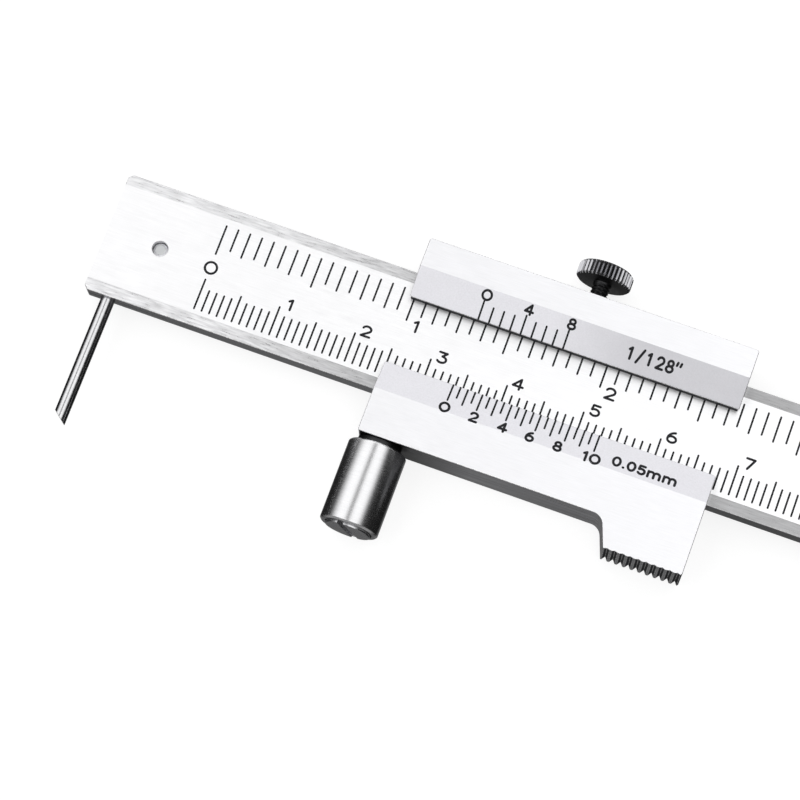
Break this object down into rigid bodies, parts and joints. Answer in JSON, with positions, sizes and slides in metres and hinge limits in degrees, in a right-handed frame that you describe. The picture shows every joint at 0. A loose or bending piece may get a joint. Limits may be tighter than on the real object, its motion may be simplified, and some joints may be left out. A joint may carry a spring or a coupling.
{
  "type": "vernier marking gauge",
  "caption": "Marking gauge with a graduated steel beam, a carbide scriber at its end, and a sliding vernier head with a guide roller, thumb grip and knurled lock screw.",
  "frame": {"origin": "bottom centre of the whole gauge as it lies on its back", "axes": "+X along the beam from the scriber end to the stop end, +Y across the beam from the roller to the lock screw, +Z out of the scale face"},
  "size_m": [0.255, 0.0426, 0.0078],
  "materials": {
    "satin_steel": "satin ground",
    "satin_chrome": "satin chrome plated",
    "carbide": "ground carbide",
    "plain_steel": "turned",
    "gib_brass": "rolled strip",
    "bright_chrome": "bright plated, knurled",
    "polished_steel": "hardened and polished"
  },
  "bodies": {
    "beam_unit": {"beam": "satin_steel", "beam_stop_screw": "plain_steel"},
    "scriber_unit": {"scriber": "carbide"},
    "clamp_screw_unit": {"scriber_clamp_screw": "plain_steel"},
    "slider_unit": {"slider_body": "satin_chrome", "rear_cover": "satin_chrome", "rear_cover_screws": "plain_steel", "gib_strip": "gib_brass", "gib_screws": "plain_steel", "roller_axle_screw": "polished_steel", "roller_spacer": "plain_steel"},
    "lock_screw_unit": {"lock_screw": "bright_chrome"},
    "roller_unit": {"guide_roller": "polished_steel"}
  },
  "joints": [
    {"name": "slider_slide", "type": "slide", "parent": "beam_unit", "child": "slider_unit", "axis": [1, 0, 0], "range_m": [-0.0338, 0.1667]},
    {"name": "lock_screw_turn", "type": "hinge", "parent": "slider_unit", "child": "lock_screw_unit", "pos_m": [-0.0668, 0.0203, 0.00355], "axis": [0, 1, 0], "range_deg": [0, 360]},
    {"name": "roller_spin", "type": "hinge", "parent": "slider_unit", "child": "roller_unit", "pos_m": [-0.0858, -0.0155, 0.0041], "axis": [0, 1, 0], "continuous": true},
    {"name": "scriber_slide", "type": "slide", "parent": "beam_unit", "child": "scriber_unit", "axis": [0, -1, 0], "range_m": [-0.0015, 0.004]},
    {"name": "clamp_screw_turn", "type": "hinge", "parent": "beam_unit", "child": "clamp_screw_unit", "pos_m": [-0.1203, 0.0045, 0.00355], "axis": [0, 0, -1], "range_deg": [0, 360]}
  ]
}
